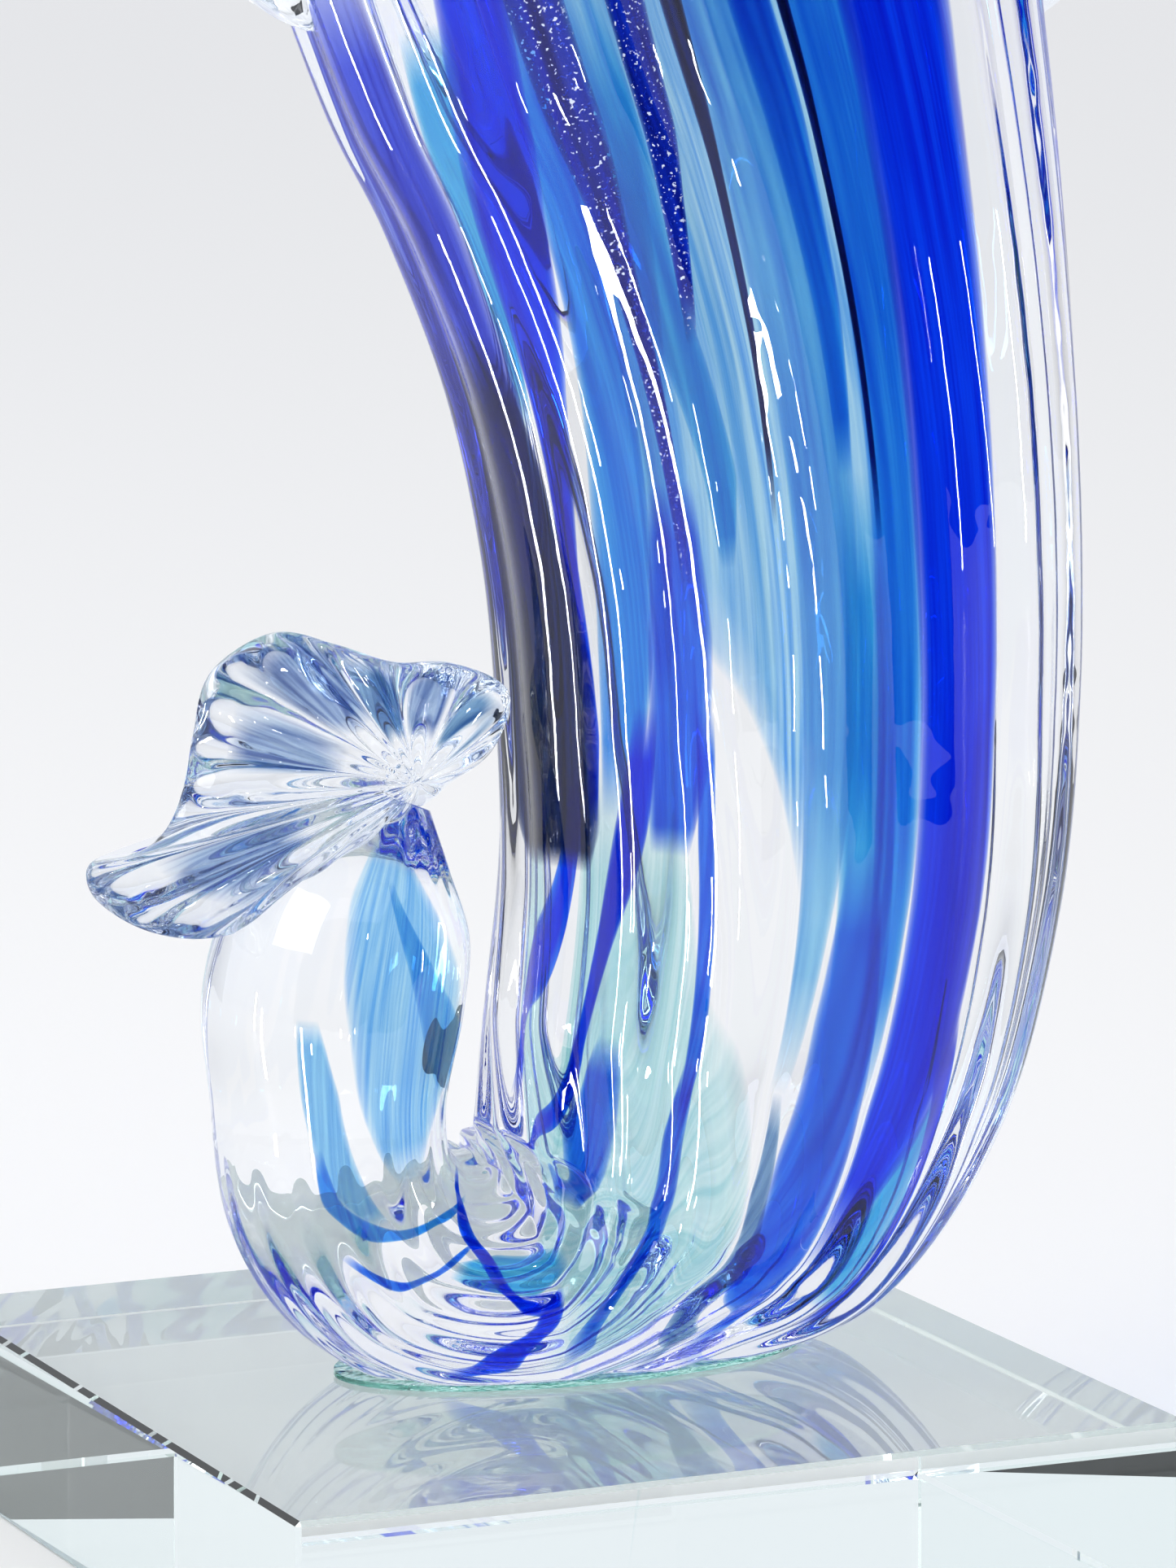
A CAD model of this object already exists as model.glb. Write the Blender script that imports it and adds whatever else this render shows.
"""Looks of the art-glass fish figurine: clear ribbed glass over blue colour, on a crystal block.

Metres, +Z up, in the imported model's frame. The fish lies in the XZ plane with its back towards +X.
"""

import math

import bmesh
import bpy
import numpy as np
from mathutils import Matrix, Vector


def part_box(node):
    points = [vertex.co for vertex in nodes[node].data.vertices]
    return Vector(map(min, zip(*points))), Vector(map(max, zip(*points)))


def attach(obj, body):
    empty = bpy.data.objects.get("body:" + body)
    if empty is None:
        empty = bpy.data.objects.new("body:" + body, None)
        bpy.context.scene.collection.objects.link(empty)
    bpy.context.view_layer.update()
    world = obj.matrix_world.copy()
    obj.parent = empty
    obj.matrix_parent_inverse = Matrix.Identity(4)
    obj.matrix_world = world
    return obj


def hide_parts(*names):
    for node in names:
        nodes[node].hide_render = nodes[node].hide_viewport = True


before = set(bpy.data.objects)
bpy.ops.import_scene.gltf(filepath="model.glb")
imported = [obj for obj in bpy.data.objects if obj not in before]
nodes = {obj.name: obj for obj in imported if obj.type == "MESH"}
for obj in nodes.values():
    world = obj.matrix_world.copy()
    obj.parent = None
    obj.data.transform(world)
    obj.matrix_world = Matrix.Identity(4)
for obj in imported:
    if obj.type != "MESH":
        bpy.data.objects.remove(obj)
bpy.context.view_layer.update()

MM = 0.001
BLOCK_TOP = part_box("crystal_base")[1].z
BOND_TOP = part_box("adhesive_bond")[1].z
GLASS_IOR = 1.5
BLOCK_IOR = 1.55
GAP = 0.03 * MM  # air between glass faces that would otherwise coincide

VIEW_AZIMUTH, VIEW_PITCH = -24.344, 9.151
CAMERA_PLACE = (-0.31028, -0.69746, 0.20413)
CAMERA_LENS, SENSOR_HEIGHT = 170.816, 36.0  # in millimetres, as Blender takes them

# The body's stations, as the design has them: centre x and height above the block, tilt of the
# outward side in degrees, half width in the XZ plane and half depth across Y, in millimetres.
STATIONS = [
    (-34.0, 241.0, 40, 13.0, 10.5),
    (-28.0, 233.0, 38, 18.0, 13.5),
    (-17.0, 217.0, 32, 28.0, 18.5),
    (-4.5, 195.0, 26, 36.5, 22.0),
    (6.5, 170.0, 21, 40.5, 24.0),
    (15.2, 143.8, 17.6, 39.5, 25.0),
    (20.2, 127.8, 15, 36.8, 25.5),
    (24.9, 107.8, 11, 34.0, 26.0),
    (27.7, 87.0, 5, 32.3, 26.5),
    (28.5, 67.5, 0, 31.3, 26.5),
    (27.4, 48.5, -6, 30.0, 26.5),
    (23.2, 29.5, -15, 28.0, 25.5),
    (15.7, 15.0, -28, 23.0, 23.0),
    (5.8, 11.4, -47, 17.2, 20.0),
    (-2.6, 10.4, -69, 14.0, 18.0),
    (-10.4, 10.3, -95, 12.8, 16.5),
    (-18.2, 13.6, -125, 12.2, 15.5),
    (-23.0, 20.4, -155, 11.8, 15.0),
    (-24.2, 29.5, -178, 11.8, 14.5),
    (-23.6, 40.0, -184, 13.4, 14.5),
    (-21.6, 49.0, -191, 12.4, 13.0),
    (-19.0, 56.0, -198, 8.0, 8.8),
    (-17.0, 61.0, -202, 4.2, 4.8),
]
LAST = len(STATIONS) - 1
BODY_ROWS, POINTS_PER_RIB = 420, 22
RIB_DEPTH, RIB_COUNT = 1.1 * MM, 16
RIB_RISE, RIB_SHARPNESS = 0.4, 1.6  # share of the depth that stands proud, and how narrow the valleys are
# Share of the rib depth, and turn of the ribs in degrees, each as station numbers and the values there.
RIB_WEAR = ([0, 1.5, 8, 11, 12.5, 14.5, 17, LAST - 1, LAST], [0, 0.9, 0.9, 1.1, 1.4, 0.6, 0.1, 0.1, 0])
RIB_TWIST = ([9, 11, 12.2, 13.4, 14.4, 16], [0, 4, 14, 36, 60, 70])

RIBBON_ROWS, RIBBON_COLUMNS = 200, 16
RIBBON_SMOOTHING = 12  # rows on either side that a row is averaged with
RIBBON_CLEARANCE = 0.6 * MM  # least height over the adhesive
END_FADE, RIM_STEEPNESS = 0.12, 7.0
RIBBON_RING = 0.86  # share of the section's size where a ribbon lies, unless RINGS says otherwise
# Half widths from the middle line where the bending rule stops, and radians for each half width past that.
WIDEST_SHOWN, OUTER_SLOPE = 0.97, 3


# ---------------------------------------------------------------- shapes
def spline(before, here, there, after, t):
    """Smooth curve from `here` to `there` as t goes from 0 to 1."""
    return 0.5 * (
        2 * here
        + (there - before) * t
        + (2 * before - 5 * here + 4 * there - after) * t**2
        + (3 * here - before - 3 * there + after) * t**3
    )


def along_body(at):
    """Centre, outward direction, half width and half depth at station numbers `at` (a smooth spline)."""
    table = np.array(STATIONS, float)
    at = np.clip(np.asarray(at, float), 0, LAST)
    i = np.clip(np.floor(at).astype(int), 0, LAST - 1)
    before, after = table[np.clip(i - 1, 0, LAST)], table[np.clip(i + 2, 0, LAST)]
    row = spline(before, table[i], table[i + 1], after, (at - i)[:, None])
    centre = np.stack([row[:, 0] * MM, 0 * row[:, 0], row[:, 1] * MM + BLOCK_TOP], 1)
    tilt = np.radians(row[:, 2])
    outward = np.stack([np.cos(tilt), 0 * tilt, np.sin(tilt)], 1)
    return centre, outward, row[:, 3] * MM, row[:, 4] * MM


def on_body(at, angle, share=1.0, grow=0.0):
    """Points at station numbers `at` and angles round the section, `share` of the way out, plus `grow`."""
    centre, outward, wide, deep = along_body(at)
    c, s = np.cos(angle)[:, None], np.sin(angle)[:, None]
    share = np.broadcast_to(share, np.shape(at))[:, None]
    grow = np.broadcast_to(grow, np.shape(at))[:, None]
    across = np.array([[0.0, 1.0, 0.0]])
    in_plane = outward * c * (wide[:, None] * share + grow)
    sideways = across * s * (deep[:, None] * share + grow)
    return centre + in_plane + sideways


def grid_faces(rows, columns):
    """Quads of a grid of points laid row by row and joined round its columns."""
    faces = []
    for r in range(rows - 1):
        for c in range(columns):
            n = (c + 1) % columns
            faces.append((r * columns + c, r * columns + n, (r + 1) * columns + n, (r + 1) * columns + c))
    return faces


def mesh_piece(name, points, faces, material, **per_point):
    """A smooth mesh object that rides on the figurine's one body, with named values at its points."""
    mesh = bpy.data.meshes.new(name)
    mesh.from_pydata([tuple(p) for p in points], [], faces)
    for key, values in per_point.items():
        layer = mesh.attributes.new(key, "FLOAT", "POINT")
        layer.data.foreach_set("value", np.asarray(values, np.float32))
    mesh.validate()
    solid = bmesh.new()
    solid.from_mesh(mesh)
    bmesh.ops.recalc_face_normals(solid, faces=solid.faces)
    solid.to_mesh(mesh)
    solid.free()
    mesh.shade_smooth()
    mesh.materials.append(material)
    piece = bpy.data.objects.new(name, mesh)
    bpy.context.scene.collection.objects.link(piece)
    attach(piece, "root")
    return piece


def closed_tube(rings):
    """Points and faces of a tube closed at both ends; rings is rows x columns x 3."""
    rows, columns, _ = rings.shape
    faces = grid_faces(rows, columns)
    points = list(rings.reshape(-1, 3))
    for row, flip in ((0, True), (rows - 1, False)):
        points.append(rings[row].mean(0))
        hub = len(points) - 1
        for c in range(columns):
            a, b = row * columns + c, row * columns + (c + 1) % columns
            faces.append((hub, b, a) if flip else (hub, a, b))
    return points, faces


# ---------------------------------------------------------------- materials
def new_material(name):
    material = bpy.data.materials.new(name)
    material.use_nodes = True
    material.node_tree.nodes.clear()
    return material, material.node_tree.nodes, material.node_tree.links


def node(nodes_, kind, **settings):
    made = nodes_.new(kind)
    for key, value in settings.items():
        if key in made.inputs:
            made.inputs[key].default_value = value
        else:
            setattr(made, key, value)
    return made


def scaled(n, link, value, factor):
    """A node output times a fixed factor."""
    times = node(n, "ShaderNodeMath", operation="MULTIPLY")
    times.inputs[1].default_value = factor
    link.new(value, times.inputs[0])
    return times.outputs[0]


def blended(n, link, share, first, second):
    """The first shader, with `share` of the second; share is a node output or a number."""
    mix = n.new("ShaderNodeMixShader")
    if isinstance(share, float):
        mix.inputs["Fac"].default_value = share
    else:
        link.new(share, mix.inputs["Fac"])
    link.new(first.outputs[0], mix.inputs[1])
    link.new(second.outputs[0], mix.inputs[2])
    return mix


def finished(material, n, link, shader):
    out = n.new("ShaderNodeOutputMaterial")
    link.new(shader.outputs[0], out.inputs["Surface"])
    return material


def clear_glass(name, tint, ior, wave=0.0, wave_scale=40.0, lets_light=True):
    """Clear glass with a faint hand-worked waviness; lamps shine through it if it lets light."""
    material, n, link = new_material(name)
    glass = node(n, "ShaderNodeBsdfGlass", Color=(*tint, 1), Roughness=0.0, IOR=ior)
    if wave:
        place = n.new("ShaderNodeTexCoord")
        noise = node(n, "ShaderNodeTexNoise", Scale=wave_scale, Detail=2.0)
        bump = node(n, "ShaderNodeBump", Strength=wave, Distance=MM)
        link.new(place.outputs["Object"], noise.inputs["Vector"])
        link.new(noise.outputs["Fac"], bump.inputs["Height"])
        link.new(bump.outputs["Normal"], glass.inputs["Normal"])
    if not lets_light:
        return finished(material, n, link, glass)
    rays = n.new("ShaderNodeLightPath")
    through = node(n, "ShaderNodeBsdfTransparent", Color=(*tint, 1))
    return finished(material, n, link, blended(n, link, rays.outputs["Is Shadow Ray"], glass, through))


def streak_colour(name, tint, shade, body, flecks=0.0):
    """Translucent colour with darker threads drawn out lengthwise, fading at its rim and ends; `shade`
    is the colour of the threads, `body` how much light it scatters and `flecks` how many white specks
    it has."""
    material, n, link = new_material(name)
    rim = node(n, "ShaderNodeAttribute", attribute_name="rim")
    along = node(n, "ShaderNodeAttribute", attribute_name="along")
    around = node(n, "ShaderNodeAttribute", attribute_name="round")
    place = n.new("ShaderNodeCombineXYZ")
    link.new(scaled(n, link, along.outputs["Fac"], 0.35), place.inputs["Y"])
    link.new(scaled(n, link, around.outputs["Fac"], 26.0), place.inputs["X"])
    threads = node(n, "ShaderNodeTexNoise", Scale=1.0, Detail=3.0, Roughness=0.6)
    link.new(place.outputs[0], threads.inputs["Vector"])
    pick = node(n, "ShaderNodeMapRange")
    for key, value in (("From Min", 0.4), ("From Max", 0.65), ("To Min", 0.0), ("To Max", 1.0)):
        pick.inputs[key].default_value = value
    link.new(threads.outputs["Fac"], pick.inputs["Value"])
    colour = node(n, "ShaderNodeMix", data_type="RGBA")
    colour.inputs[6].default_value = (*tint, 1)
    colour.inputs[7].default_value = (*shade, 1)
    link.new(pick.outputs["Result"], colour.inputs["Factor"])
    faded = node(n, "ShaderNodeMix", data_type="RGBA")
    faded.inputs[6].default_value = (1, 1, 1, 1)
    link.new(rim.outputs["Fac"], faded.inputs["Factor"])
    link.new(colour.outputs[2], faded.inputs[7])
    clear = n.new("ShaderNodeBsdfTransparent")
    link.new(faded.outputs[2], clear.inputs["Color"])
    through = n.new("ShaderNodeBsdfTranslucent")
    face = n.new("ShaderNodeBsdfDiffuse")
    link.new(colour.outputs[2], through.inputs["Color"])
    link.new(colour.outputs[2], face.inputs["Color"])
    solid = blended(n, link, 0.5, through, face)
    join = blended(n, link, scaled(n, link, rim.outputs["Fac"], body), clear, solid)
    if not flecks:
        return finished(material, n, link, join)
    where = n.new("ShaderNodeTexCoord")
    dots = node(n, "ShaderNodeTexNoise", Scale=2200.0, Detail=2.0)
    link.new(where.outputs["Object"], dots.inputs["Vector"])
    keep = node(n, "ShaderNodeMath", operation="GREATER_THAN")
    keep.inputs[1].default_value = 1.0 - flecks
    link.new(dots.outputs["Fac"], keep.inputs[0])
    show = node(n, "ShaderNodeMath", operation="MULTIPLY")
    link.new(keep.outputs[0], show.inputs[0])
    link.new(rim.outputs["Fac"], show.inputs[1])
    white = node(n, "ShaderNodeBsdfDiffuse", Color=(0.8, 0.85, 0.95, 1))
    return finished(material, n, link, blended(n, link, show.outputs[0], join, white))


def plain(name, colour, roughness):
    """Opaque glossy glass drops, with a faint mottling."""
    material, n, link = new_material(name)
    place = n.new("ShaderNodeTexCoord")
    noise = node(n, "ShaderNodeTexNoise", Scale=300.0)
    shade = node(n, "ShaderNodeMix", data_type="RGBA")
    shade.inputs[6].default_value = (*colour, 1)
    shade.inputs[7].default_value = (*[c * 0.85 for c in colour], 1)
    link.new(place.outputs["Object"], noise.inputs["Vector"])
    link.new(noise.outputs["Fac"], shade.inputs["Factor"])
    face = node(n, "ShaderNodeBsdfPrincipled", Roughness=roughness, IOR=1.5)
    link.new(shade.outputs[2], face.inputs["Base Color"])
    return finished(material, n, link, face)


BODY_GLASS = clear_glass("body_glass", (0.99, 0.995, 1.0), GLASS_IOR, wave=0.25, wave_scale=60.0)
FIN_GLASS = clear_glass("fin_glass", (0.98, 0.99, 1.0), GLASS_IOR, wave=0.5, wave_scale=120.0)
BLOCK_GLASS = clear_glass("block_glass", (0.97, 0.99, 0.985), BLOCK_IOR, lets_light=False)
BOND = clear_glass("bond", (0.85, 0.97, 0.95), GLASS_IOR, wave=0.6, wave_scale=400.0)
COBALT = streak_colour("cobalt", (0.03, 0.22, 0.96), (0.015, 0.08, 0.8), body=0.03)
VIOLET = streak_colour("violet", (0.22, 0.3, 0.88), (0.05, 0.08, 0.62), body=0.06)
NAVY = streak_colour("navy", (0.06, 0.14, 0.42), (0.02, 0.04, 0.15), body=0.05)
SPECKLED = streak_colour("speckled", (0.08, 0.2, 0.78), (0.03, 0.07, 0.45), body=0.05, flecks=0.36)
MEDIUM = streak_colour("medium_blue", (0.14, 0.42, 0.94), (0.05, 0.22, 0.84), body=0.05)
AZURE = streak_colour("azure", (0.2, 0.58, 0.94), (0.08, 0.38, 0.88), body=0.06)
AQUA = streak_colour("aqua", (0.32, 0.74, 0.93), (0.14, 0.54, 0.87), body=0.08)
SKY = streak_colour("sky", (0.54, 0.8, 0.95), (0.36, 0.64, 0.9), body=0.1)
STEEL = streak_colour("steel", (0.5, 0.66, 0.8), (0.2, 0.36, 0.6), body=0.04)
SMOKE = streak_colour("smoke", (0.66, 0.76, 0.88), (0.28, 0.38, 0.62), body=0.03)
PALE = streak_colour("pale", (0.66, 0.86, 0.96), (0.3, 0.6, 0.92), body=0.04)
TEAL = streak_colour("teal", (0.8, 0.93, 0.93), (0.62, 0.84, 0.86), body=0.03)


# ---------------------------------------------------------------- body
def build_body():
    rows, columns = BODY_ROWS, POINTS_PER_RIB * RIB_COUNT
    at = np.linspace(0, LAST, rows)
    angle = np.linspace(0, 2 * math.pi, columns, endpoint=False)
    grid_at, grid_angle = np.repeat(at, columns), np.tile(angle, rows)
    worn = np.interp(grid_at, *RIB_WEAR)
    twist = np.radians(np.interp(grid_at, *RIB_TWIST))
    ridge = RIB_RISE - np.abs(np.sin((grid_angle - twist) * RIB_COUNT / 2)) ** RIB_SHARPNESS
    points = on_body(grid_at, grid_angle, 1.0, -ridge * RIB_DEPTH * worn)
    points[:, 2] = np.maximum(points[:, 2], BOND_TOP + GAP)
    shape, faces = closed_tube(points.reshape(rows, columns, 3))
    piece = mesh_piece("body_casing_glass", shape, faces, BODY_GLASS)
    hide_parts("body_casing")


# ---------------------------------------------------------------- colour inside the body
def seen_from_camera(at, across, ring):
    """Angle round the section, on the ring of share `ring`, that shows at `across` half widths from the
    body's middle line: the light is bent at the casing's surface, then meets the ring inside it."""
    centre, outward, wide, deep = along_body(at)
    to_camera = np.array(CAMERA_PLACE) - centre
    to_camera /= np.linalg.norm(to_camera, axis=1)[:, None]
    facing = np.arctan2(to_camera[:, 1] / deep, (to_camera * outward).sum(1) / wide)
    shown = np.clip(across, -WIDEST_SHOWN, WIDEST_SHOWN)
    # Known fault: nothing on the ring shows past ring * GLASS_IOR half widths. A point beyond that has no
    # angle, and mesh.validate() then puts it at the origin. The ribbon teal_low has one such point.
    bent = np.arcsin(shown / GLASS_IOR / ring) + np.arcsin(shown) - np.arcsin(shown / GLASS_IOR)
    return facing + bent + OUTER_SLOPE * (across - shown)


def build_ribbon(name, material, path, ring, thick=0.5):
    """A lens-shaped ribbon of colour; path lists (station, place across, half width) as they show from
    the front, the last two in half widths of the body. `thick` is half its thickness in millimetres."""
    path = np.array(path, float)
    rows, columns, pad = RIBBON_ROWS, RIBBON_COLUMNS, RIBBON_SMOOTHING
    order = np.linspace(0, len(path) - 1, rows)
    steps = np.arange(len(path))
    ease = np.hanning(2 * pad + 3)[1:-1]
    ease /= ease.sum()

    def smoothed(values):
        even = np.interp(order, steps, values)
        return np.convolve(np.pad(even, pad, "reflect", reflect_type="odd"), ease, "valid")

    at, middle, half = (smoothed(path[:, k]) for k in range(3))
    turn = np.linspace(0, 2 * math.pi, columns, endpoint=False)
    side = np.cos(turn)
    grid_at = np.repeat(at, columns)
    across = np.repeat(middle, columns) + np.outer(half, side).ravel()
    angle = seen_from_camera(grid_at, across, ring)
    points = on_body(grid_at, angle, ring, np.tile(np.sin(turn), rows) * thick * MM)
    points[:, 2] = np.maximum(points[:, 2], BOND_TOP + RIBBON_CLEARANCE)
    shape, faces = closed_tube(points.reshape(rows, columns, 3))
    ends = np.clip(np.minimum(order, order[-1] - order) / (END_FADE * order[-1]), 0, 1)
    rim = np.repeat(ends, columns) * np.clip((1 - np.abs(np.tile(side, rows))) * RIM_STEEPNESS, 0, 1)
    hubs = [0.0, 0.0]
    piece = mesh_piece(
        name, shape, faces, material, rim=[*rim, *hubs], along=[*grid_at, *hubs], round=[*angle, *hubs]
    )


build_body()
RIBBONS = {
    "under_tint": (PALE, [
        (2, -0.05, 0.6), (4, -0.05, 0.62), (6, -0.05, 0.6), (7.4, -0.05, 0.5), (8.6, 0.1, 0.35),
        (10, 0.3, 0.2),
    ]),
    "violet_edge": (VIOLET, [
        (4.2, -1.0, 0.16), (5.5, -0.98, 0.16), (7, -0.96, 0.15), (8, -0.94, 0.1), (8.6, -0.96, 0.05),
    ]),
    "azure_edge": (AQUA, [
        (4.7, -0.68, 0.08), (5.4, -0.74, 0.07), (6.2, -0.77, 0.05), (7.2, -0.8, 0.02),
    ]),
    "ultra_left": (COBALT, [
        (4, -0.5, 0.11), (5.2, -0.6, 0.11), (6, -0.66, 0.09), (7, -0.7, 0.06), (8.6, -0.72, 0.03),
    ]),
    "navy_patch": (NAVY, [
        (6.6, -0.92, 0.03), (7.6, -0.9, 0.12), (8.6, -0.84, 0.2), (9.6, -0.82, 0.2), (9.9, -0.8, 0.12),
    ]),
    "patch_line": (COBALT, [
        (7.4, -0.72, 0.03), (8.2, -0.7, 0.035), (9, -0.66, 0.03), (9.6, -0.66, 0.02),
    ]),
    "azure_left": (AZURE, [
        (4.4, -0.42, 0.07), (6, -0.5, 0.08), (7.5, -0.53, 0.09), (8.5, -0.55, 0.08), (9.5, -0.58, 0.04),
    ]),
    "speckled_one": (SPECKLED, [
        (4, -0.4, 0.08), (5.4, -0.38, 0.07), (6.5, -0.37, 0.035), (8.2, -0.32, 0.015),
    ]),
    "grey_blue": (SKY, [(5.4, -0.3, 0.06), (7, -0.4, 0.08), (8, -0.43, 0.06), (8.8, -0.45, 0.03)]),
    "speckled_two": (SPECKLED, [(4, -0.14, 0.07), (5.6, -0.17, 0.05), (6.8, -0.23, 0.015)]),
    "sky_left": (AQUA, [(4.6, -0.27, 0.06), (6.5, -0.29, 0.06), (7.5, -0.2, 0.05), (8, -0.2, 0.02)]),
    "dark_line": (NAVY, [(4, -0.03, 0.04), (6, -0.03, 0.015), (7.8, -0.03, 0.01)]),
    "light_middle": (SKY, [
        (4, 0.1, 0.12), (6, 0.1, 0.12), (7.4, 0.12, 0.1), (9.6, 0.14, 0.07), (11, 0.16, 0.04),
    ]),
    "medium_middle": (AZURE, [(4, 0.14, 0.06), (5.6, 0.18, 0.06), (6.8, 0.2, 0.04), (7.6, 0.2, 0.02)]),
    "second_line": (NAVY, [(4, 0.25, 0.025), (6, 0.27, 0.014), (8, 0.3, 0.01)]),
    "azure_right": (AZURE, [
        (4, 0.35, 0.1), (6, 0.35, 0.09), (8, 0.36, 0.09), (9.6, 0.38, 0.09), (11, 0.42, 0.05),
    ]),
    "aqua_right": (AQUA, [(7.6, 0.24, 0.06), (9.4, 0.27, 0.09), (10.6, 0.34, 0.09), (11.6, 0.4, 0.04)]),
    "cobalt_right": (COBALT, [
        (4, 0.58, 0.18), (6, 0.57, 0.16), (8, 0.57, 0.14), (9.8, 0.59, 0.12), (11, 0.6, 0.1),
        (12, 0.66, 0.05),
    ]),
    "azure_inner": (AZURE, [(8.8, 0.64, 0.03), (10, 0.66, 0.04), (11, 0.66, 0.02)]),
    "tongue": (MEDIUM, [(7.5, -0.36, 0.08), (8.4, -0.37, 0.12), (9.2, -0.38, 0.12), (9.7, -0.4, 0.08)]),
    "tongue_left": (COBALT, [
        (8.8, -0.5, 0.04), (9.5, -0.53, 0.045), (10.2, -0.57, 0.035), (11.4, -0.65, 0.03),
        (13, -0.8, 0.02),
    ]),
    "tongue_right": (MEDIUM, [
        (8.8, -0.28, 0.03), (9.6, -0.26, 0.03), (10.8, -0.18, 0.03), (11.4, -0.15, 0.02),
    ]),
    "far_line": (COBALT, [(9.2, -0.74, 0.025), (10.3, -0.79, 0.03), (11.6, -0.87, 0.02)]),
    "deep_band": (MEDIUM, [
        (9.6, 0.26, 0.04), (10.6, 0.32, 0.1), (11.4, 0.39, 0.12), (12.2, 0.52, 0.09), (13.2, 0.97, 0.05),
    ]),
    "low_line": (COBALT, [(10.4, 0.66, 0.04), (11.4, 0.8, 0.035), (12.4, 0.92, 0.03)]),
    "teal_low": (TEAL, [
        (9.2, -0.62, 0.2), (10.4, -0.55, 0.35), (11.4, -0.4, 0.5), (12.2, -0.2, 0.6), (13.4, 0.2, 0.6),
        (14.4, 0.5, 0.4),
    ]),
    "blue_low": (MEDIUM, [
        (10.9, -0.18, 0.02), (11.5, -0.16, 0.06), (12.2, -0.03, 0.07), (13.5, 0.42, 0.06),
        (14.4, 0.85, 0.04),
    ]),
    "grey_low": (STEEL, [(11, 0.16, 0.02), (11.7, 0.28, 0.05), (12.9, 0.64, 0.06), (13.6, 0.97, 0.04)]),
    "aqua_low": (AQUA, [(10.8, 0.72, 0.03), (11.4, 0.74, 0.06), (12.2, 0.84, 0.04)]),
    "tooth": (MEDIUM, [
        (10.9, -0.5, 0.03), (11.7, -0.5, 0.14), (12.3, -0.42, 0.13), (13.3, -0.23, 0.04),
    ]),
    "curl_bright": (COBALT, [
        (14.2, 0.35, 0.05), (14.5, 0.5, 0.1), (14.8, 0.66, 0.12), (15.3, 0.83, 0.06),
    ]),
    "curl_navy": (COBALT, [
        (14.4, 0.45, 0.03), (14.8, 0.33, 0.06), (15.4, -0.16, 0.08), (16.1, -0.65, 0.07),
        (16.5, -0.95, 0.03),
    ]),
    "aqua_curl": (AQUA, [(14, 0.1, 0.06), (14.6, 0.15, 0.16), (15.2, 0, 0.14), (15.8, -0.1, 0.06)]),
    "arc_one": (AZURE, [
        (15.9, -0.7, 0.03), (16.4, -0.52, 0.07), (16.8, -0.12, 0.1), (17.3, 0.1, 0.08),
        (17.8, 0.1, 0.03),
    ]),
    "arc_two": (MEDIUM, [
        (15.6, -0.3, 0.03), (15.9, -0.14, 0.05), (16.2, 0.14, 0.05), (16.8, 0.24, 0.03),
    ]),
    "limb_sky": (PALE, [
        (17.2, -0.6, 0.1), (18.3, -0.6, 0.36), (19.4, -0.5, 0.45), (20.3, -0.35, 0.4), (21.2, -0.2, 0.2),
    ]),
    "limb_line": (SKY, [
        (18.2, -1.0, 0.1), (18.8, -0.86, 0.16), (19.6, -0.62, 0.1), (20.6, -0.28, 0.03),
    ]),
    "limb_low": (SKY, [(16.9, -0.2, 0.05), (17.5, -0.05, 0.16), (18.3, 0.05, 0.16), (19, 0.18, 0.08)]),
}
# Ribbons that don't lie at RIBBON_RING.
RINGS = {
    "under_tint": 0.62, "teal_low": 0.6, "navy_patch": 0.8, "patch_line": 0.9, "deep_band": 0.8,
    "light_middle": 0.8, "grey_blue": 0.8,
}
for name, (material, path) in RIBBONS.items():
    build_ribbon(name, material, path, RINGS.get(name, RIBBON_RING))
STREAK_NODES = [each for each in nodes if each.startswith(("cobalt_streak", "azure_streak"))]
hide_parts("colour_core")
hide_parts(*STREAK_NODES)


# ---------------------------------------------------------------- tail fin
TAIL_ROOT = (-16.0, 63.0)
TAIL_HALF, TAIL_FOLD, TAIL_CRIMP = 5.0 * MM, 3.0 * MM, 0.9 * MM
TAIL_RAYS, TAIL_FOLDS = 15, 2
TAIL_SAMPLES, TAIL_STEPS = 420, 36
THREAD_SAMPLES, THREAD_STEPS = 24, 18
THREAD_HALF, THREAD_FORWARD = 0.25 * MM, 0.8 * MM
# Outline in the fish's plane, x and height above the block in millimetres, from the body out along the
# lower lobe and back along the upper one.
TAIL = [
    (-13.2, 59.6), (-17.0, 57.0), (-21.6, 53.2), (-27.1, 50.3), (-33.4, 48.4), (-39.6, 48.1), (-45.8, 49.8),
    (-50.6, 53.2), (-50.8, 56.4), (-45.6, 56.9), (-41.6, 58.4), (-38.8, 62.6), (-37.6, 68.5), (-35.8, 75.0),
    (-29.6, 78.7), (-23.6, 77.4), (-17.8, 75.4), (-11.6, 75.0), (-5.2, 72.0), (-5.0, 67.0), (-9.2, 62.4),
]


def smooth_loop(points, count):
    """Closed smooth curve through points, with `count` samples."""
    points = np.array(points, float)
    at = np.linspace(0, len(points), count, endpoint=False)
    i = at.astype(int)
    before, here, there, after = (points[(i + k) % len(points)] for k in (-1, 0, 1, 2))
    return spline(before, here, there, after, (at - i)[:, None])


def tail_points(outline, share, sideways):
    """The outline drawn in towards the fin's root by `share`, `sideways` out of the fish's plane."""
    flat = np.array(TAIL_ROOT) + (outline - np.array(TAIL_ROOT)) * share
    return np.stack([flat[:, 0] * MM, sideways, flat[:, 1] * MM + BLOCK_TOP], 1)


def tail_fold(turn, share):
    """How far the fin's middle sheet swings out of the fish's plane."""
    return TAIL_FOLD * np.sin(TAIL_FOLDS * turn + 0.9) * share**2


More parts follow.
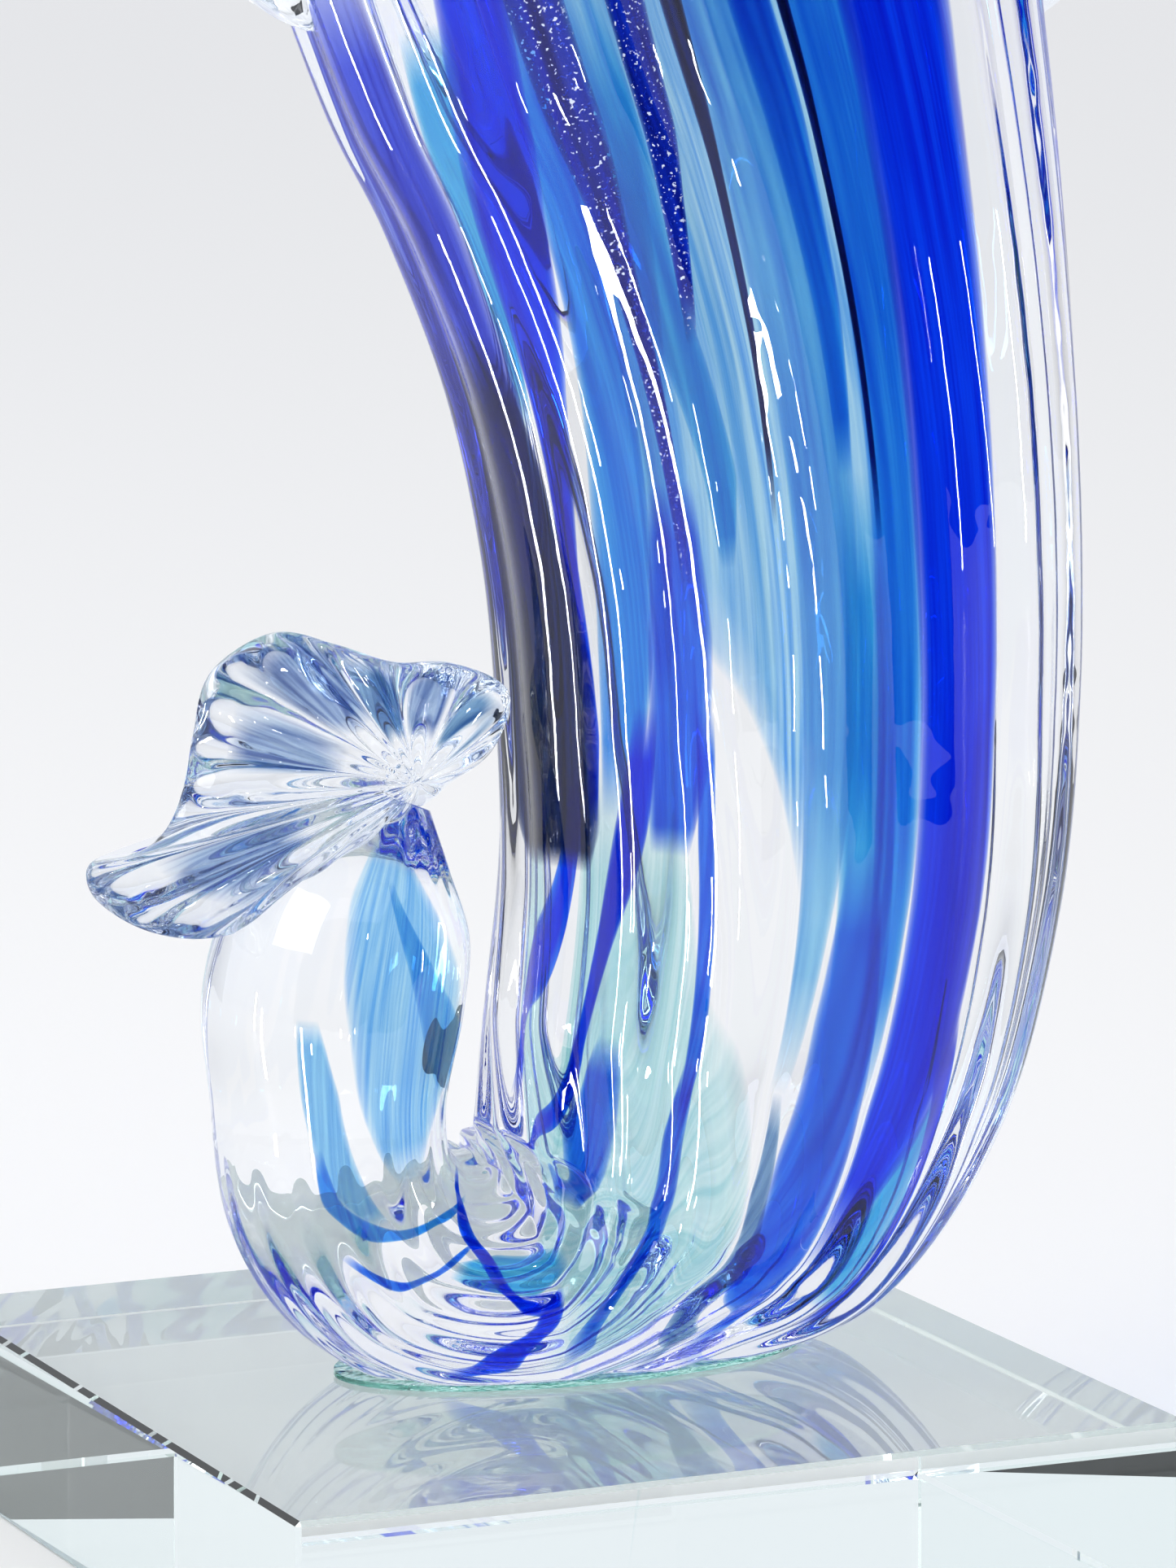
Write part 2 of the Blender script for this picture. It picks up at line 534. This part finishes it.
def build_tail_fin():
    """Thick clear fin, squeezed thin towards its rim and crimped in rays from its root."""
    outline = smooth_loop(TAIL, TAIL_SAMPLES)
    turn = np.linspace(0, 2 * math.pi, TAIL_SAMPLES, endpoint=False)
    out = np.sin(np.linspace(0.02, 0.5, TAIL_STEPS) * math.pi)
    rows = []
    for share, side in [(r, -1) for r in out] + [(r, 1) for r in out[::-1][1:]]:
        half = TAIL_HALF * math.sqrt(max(1 - share**3.0, 0)) * (1 - 0.35 * share)
        crimp = TAIL_CRIMP * np.cos(TAIL_RAYS * turn + 0.6) * share * math.sqrt(max(1 - share**8, 0))
        rows.append(tail_points(outline, share, tail_fold(turn, share) + side * (half + crimp)))
    shape, faces = closed_tube(np.array(rows))
    piece = mesh_piece("tail_fin_glass", shape, faces, FIN_GLASS)
    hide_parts("tail_fin")


def build_tail_thread(count, start, stop, inner, outer, material):
    """A thin leaf of colour caught inside the tail fin between two places along its outline."""
    columns, steps = THREAD_SAMPLES, THREAD_STEPS
    picks = np.linspace(start, stop, columns).astype(int)
    outline = smooth_loop(TAIL, TAIL_SAMPLES)[picks]
    turn = picks / TAIL_SAMPLES * 2 * math.pi
    lens = np.sin(np.linspace(0, 1, columns) * math.pi)
    rows = []
    for share in np.linspace(inner, outer, steps):
        for side in (-1, 1):
            half = side * THREAD_HALF * lens * math.sin((share - inner) / (outer - inner) * math.pi)
            points = tail_points(outline, share, tail_fold(turn, share) + half - THREAD_FORWARD)
            rows.append(points if side < 0 else points[::-1])
    shape, faces = closed_tube(np.array(rows).reshape(steps, 2 * columns, 3))
    fade = np.repeat(np.sin(np.linspace(0, 1, steps) * math.pi), 2 * columns)
    rim = fade * np.tile([*lens, *lens[::-1]], steps)
    hubs = [0.0, 0.0]
    round_at = np.tile([*turn, *turn[::-1]], steps)
    along = np.repeat(np.linspace(0, 2, steps), 2 * columns)
    piece = mesh_piece(
        f"tail_thread_{count}", shape, faces, material,
        rim=[*np.clip(rim * 2, 0, 1), *hubs], along=[*along, *hubs], round=[*round_at, *hubs],
    )


build_tail_fin()
# Where each leaf starts and stops along the outline's samples, and how far out it runs.
TAIL_THREADS = [
    (262, 296, 0.35, 0.95, SMOKE),
    (298, 320, 0.3, 0.9, STEEL),
    (326, 344, 0.35, 0.92, SMOKE),
    (350, 366, 0.3, 0.88, STEEL),
    (226, 256, 0.3, 0.85, SMOKE),
    (100, 150, 0.35, 0.8, SMOKE),
]
for count, thread in enumerate(TAIL_THREADS, 1):
    build_tail_thread(count, *thread)


# ---------------------------------------------------------------- carried-over parts
def dress(node_name, material):
    piece = nodes[node_name]
    piece.data.materials.clear()
    piece.data.materials.append(material)


dress("crystal_base", BLOCK_GLASS)
dress("adhesive_bond", BOND)
shrink = nodes["adhesive_bond"].modifiers.new("gap", "DISPLACE")
shrink.strength, shrink.mid_level = -GAP, 0.0
for name in ("dorsal_fin", "ventral_fin", "pectoral_fin_left", "pectoral_fin_right"):
    dress(name, FIN_GLASS)
dress("lip_ring", clear_glass("lip_glass", (0.05, 0.12, 0.85), GLASS_IOR))
WHITE = plain("white_drop", (0.9, 0.9, 0.88), 0.08)
BLACK = plain("black_drop", (0.01, 0.01, 0.015), 0.05)
for side in ("left", "right"):
    dress(f"eye_{side}", WHITE)
    dress(f"pupil_{side}", BLACK)


# ---------------------------------------------------------------- stage, light and camera
FLOOR_HALF = 6.0
SKY_RADIANCE, KEY_RADIANCE, SPARK_RADIANCE = 0.95, 4.0, 70.0
# What the key light and the small lamps face.
MIDDLE, MARK = Vector((0.0, 0.0, 0.11)), Vector((0.0, 0.0, 0.15))


def direction(azimuth, elevation):
    a, e = math.radians(azimuth), math.radians(elevation)
    return Vector((math.sin(a) * math.cos(e), -math.cos(a) * math.cos(e), math.sin(e)))


def build_floor():
    half = FLOOR_HALF
    mesh = bpy.data.meshes.new("floor")
    corners = [(-half, -half, -GAP), (half, -half, -GAP), (half, half, -GAP), (-half, half, -GAP)]
    mesh.from_pydata(corners, [], [(0, 1, 2, 3)])
    floor = bpy.data.objects.new("floor", mesh)
    bpy.context.scene.collection.objects.link(floor)
    material, n, link = new_material("pale_floor")
    face = node(n, "ShaderNodeBsdfPrincipled", Roughness=0.6)
    face.inputs["Base Color"].default_value = (0.86, 0.85, 0.83, 1)
    mesh.materials.append(finished(material, n, link, face))


def build_world():
    world = bpy.data.worlds.new("studio")
    bpy.context.scene.world = world
    world.use_nodes = True
    back = world.node_tree.nodes["Background"]
    back.inputs["Color"].default_value = (0.93, 0.95, 1.0, 1)
    back.inputs["Strength"].default_value = SKY_RADIANCE


def area_light(name, place, target, width, height, radiance):
    lamp = bpy.data.lights.new(name, "AREA")
    lamp.shape = "RECTANGLE"
    lamp.size, lamp.size_y = width, height
    lamp.energy = radiance * math.pi * width * height
    shown = bpy.data.objects.new(name, lamp)
    shown.location = place
    shown.rotation_euler = (Vector(target) - Vector(place)).to_track_quat("-Z", "Y").to_euler()
    bpy.context.scene.collection.objects.link(shown)
    return shown


def dark_card(name, azimuth, distance, width, height):
    """A black card out of the camera's sight, for the glass to bend and mirror."""
    place = direction(azimuth, 0) * distance
    across = Vector((math.cos(math.radians(azimuth)), math.sin(math.radians(azimuth)), 0)) * width / 2
    top = Vector((0, 0, height))
    mesh = bpy.data.meshes.new(name)
    corners = [place - across, place + across, place + across + top, place - across + top]
    mesh.from_pydata([tuple(c) for c in corners], [], [(0, 1, 2, 3)])
    card = bpy.data.objects.new(name, mesh)
    bpy.context.scene.collection.objects.link(card)
    mesh.materials.append(CARD)
    card.visible_camera = False
    card.visible_shadow = False
    card.visible_diffuse = False
    return card


build_floor()
build_world()
area_light("key", MIDDLE + direction(-75, 40) * 1.6, MIDDLE, 1.0, 1.0, KEY_RADIANCE)
# Small lamps that only the glass mirrors: azimuth, elevation, distance, width and height.
SPARKS = [
    (-47, -27, 0.28, 0.008, 0.014),
    (-22, -17, 0.42, 0.008, 0.014),
    (-13, -13, 0.50, 0.008, 0.016),
    (8, -6.5, 0.80, 0.016, 0.03),
    (17, -5, 0.90, 0.016, 0.03),
    (35, -2, 1.00, 0.02, 0.04),
    (41, -2, 1.00, 0.02, 0.04),
    (-68, -18, 0.38, 0.008, 0.02),
    (-31, -12, 0.55, 0.01, 0.03),
    (-60, -31, 0.24, 0.010, 0.06),
    (-88, -30, 0.24, 0.010, 0.08),
    (-100, -14, 0.45, 0.016, 0.12),
    (60, -4, 0.90, 0.02, 0.12),
    (-5, 25, 0.90, 0.03, 0.06),
]
for count, (azimuth, elevation, distance, width, height) in enumerate(SPARKS):
    place = MARK + direction(azimuth, elevation) * distance
    lamp = area_light(f"spark_{count}", place, MARK, width, height, SPARK_RADIANCE)
    lamp.visible_camera = lamp.visible_diffuse = False

CARD = plain("black_card", (0.012, 0.012, 0.014), 0.9)
dark_card("card_right", 24, 0.55, 0.35, 0.16)
dark_card("card_left", -150, 0.8, 0.4, 0.2)
# Two large cards stand for a dim room: the glass mirrors them but isn't darkened through them.
for side, azimuth in (("front", VIEW_AZIMUTH), ("right", 60)):
    room = dark_card(f"dim_room_{side}", azimuth, 1.6, 3.2, 1.6)
    room.visible_transmission = False

camera_data = bpy.data.cameras.new("camera")
camera_data.sensor_width = SENSOR_HEIGHT
camera_data.lens = CAMERA_LENS
camera = bpy.data.objects.new("camera", camera_data)
camera.location = CAMERA_PLACE
camera.rotation_mode = "QUATERNION"
camera.rotation_quaternion = (-direction(VIEW_AZIMUTH, VIEW_PITCH)).to_track_quat("-Z", "Y")
camera_data.clip_start, camera_data.clip_end = 0.01, 50
bpy.context.scene.collection.objects.link(camera)
bpy.context.scene.camera = camera
bpy.context.scene.view_settings.view_transform = "Standard"
cycles = bpy.context.scene.cycles
cycles.max_bounces = cycles.transmission_bounces = 24
cycles.transparent_max_bounces = 48
cycles.glossy_bounces = 12
